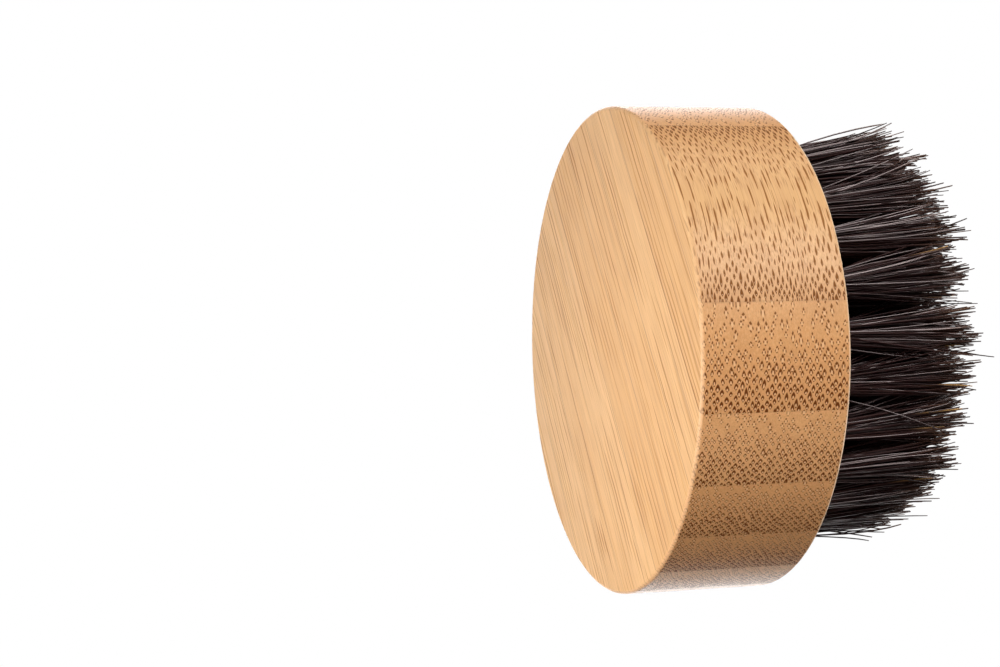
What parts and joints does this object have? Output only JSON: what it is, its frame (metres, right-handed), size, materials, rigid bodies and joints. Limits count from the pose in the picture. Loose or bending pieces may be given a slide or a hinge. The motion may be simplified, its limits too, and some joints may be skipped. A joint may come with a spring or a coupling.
{
  "type": "beard brush",
  "caption": "Palm-sized round beard brush: a flat disc of laminated bamboo with concentric rings of stiff dark bristle tufts on one face.",
  "frame": {"origin": "centre of the block's flat back face, which is the lowest point of the brush as it stands", "axes": "+Z along the brush's axis, from the back face to the bristle tips; X along the bamboo fibres; Y across the glued strips"},
  "size_m": [0.06, 0.06, 0.0366],
  "materials": {
    "bamboo": "semi-gloss clear lacquer",
    "bristle": "natural dark bristle, slightly glossy",
    "anchor_metal": "drawn wire, cut"
  },
  "bodies": {
    "root": {"bamboo_strip_1": "bamboo", "bamboo_strip_2": "bamboo", "bamboo_strip_3": "bamboo", "bamboo_strip_4": "bamboo", "bamboo_strip_5": "bamboo", "bamboo_strip_6": "bamboo", "bamboo_strip_7": "bamboo", "bamboo_strip_8": "bamboo", "bamboo_strip_9": "bamboo", "tuft_ring_1": "bristle", "tuft_ring_2": "bristle", "tuft_ring_3": "bristle", "tuft_ring_4": "bristle", "tuft_ring_5": "bristle", "anchor_ring_1": "anchor_metal", "anchor_ring_2": "anchor_metal", "anchor_ring_3": "anchor_metal", "anchor_ring_4": "anchor_metal", "anchor_ring_5": "anchor_metal"}
  },
  "joints": []
}
